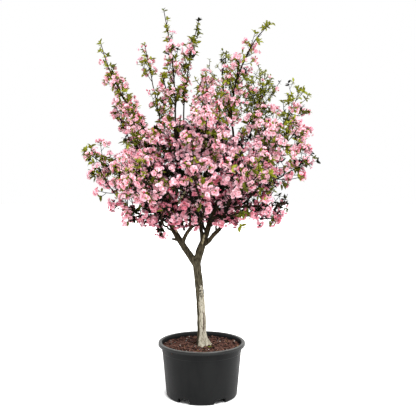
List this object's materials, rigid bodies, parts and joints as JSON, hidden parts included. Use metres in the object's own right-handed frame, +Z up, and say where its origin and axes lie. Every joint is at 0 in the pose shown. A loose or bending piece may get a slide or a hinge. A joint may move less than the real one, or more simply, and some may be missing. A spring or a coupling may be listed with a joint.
{
  "type": "potted halls crabapple tree",
  "caption": "Young crabapple tree in full pink blossom, with a forked trunk, spreading boughs and a black nursery pot of bark compost.",
  "frame": {"origin": "on the ground, under the middle of the pot, in the plane of the undersides of its six feet", "axes": "+Z up along the trunk; -Y towards the viewer of the picture, with a foot of the pot at the very front; +X to the viewer's right"},
  "size_m": [1.2648, 1.1207, 2.0019],
  "materials": {
    "pot": "moulded black plastic, satin, slightly scuffed",
    "compost": "damp reddish bark chips, matt, with white perlite",
    "trunk_bark": "cream bark, matt, turning grey-brown above with a thin crack",
    "bough_bark": "dark brown bark, matt, fissured",
    "blossom": "soft pale to deep pink petals, matt",
    "leaf": "yellow-green to dark green leaves, slightly waxy"
  },
  "bodies": {
    "root": {"pot": "pot", "soil": "compost", "trunk": "trunk_bark", "broken_stub": "bough_bark", "left_bough": "bough_bark", "left_mass": "blossom", "right_bough": "bough_bark", "right_mass": "blossom", "inner_front_bough": "bough_bark", "inner_front_mass": "blossom", "inner_left_bough": "bough_bark", "inner_left_mass": "blossom", "left_low_bough": "bough_bark", "left_low_mass": "blossom", "left_under_bough": "bough_bark", "left_under_mass": "blossom", "left_front_bough": "bough_bark", "left_front_mass": "blossom", "left_back_bough": "bough_bark", "left_back_mass": "blossom", "left_side_bough": "bough_bark", "left_side_mass": "blossom", "left_breast_bough": "bough_bark", "left_breast_mass": "blossom", "left_spire_bough": "bough_bark", "left_spire_mass": "blossom", "left_shoulder_bough": "bough_bark", "left_shoulder_mass": "blossom", "second_spire_bough": "bough_bark", "second_spire_mass": "leaf", "middle_bough": "bough_bark", "middle_mass": "blossom", "fourth_spire_bough": "bough_bark", "fourth_spire_mass": "blossom", "right_low_bough": "bough_bark", "right_low_mass": "blossom", "right_under_bough": "bough_bark", "right_under_mass": "blossom", "right_front_bough": "bough_bark", "right_front_mass": "blossom", "right_side_bough": "bough_bark", "right_side_mass": "blossom", "right_back_bough": "bough_bark", "right_back_mass": "blossom", "back_bough": "bough_bark", "back_mass": "blossom", "back_top_bough": "bough_bark", "back_top_mass": "blossom", "front_top_bough": "bough_bark", "front_top_mass": "blossom", "right_breast_bough": "bough_bark", "right_breast_mass": "blossom", "right_spire_bough": "bough_bark", "right_spire_mass": "blossom", "right_shoulder_bough": "bough_bark", "right_shoulder_mass": "blossom", "green_fan_bough": "bough_bark", "green_fan_mass": "leaf", "green_side_bough": "bough_bark", "green_side_mass": "leaf"}
  },
  "joints": []
}
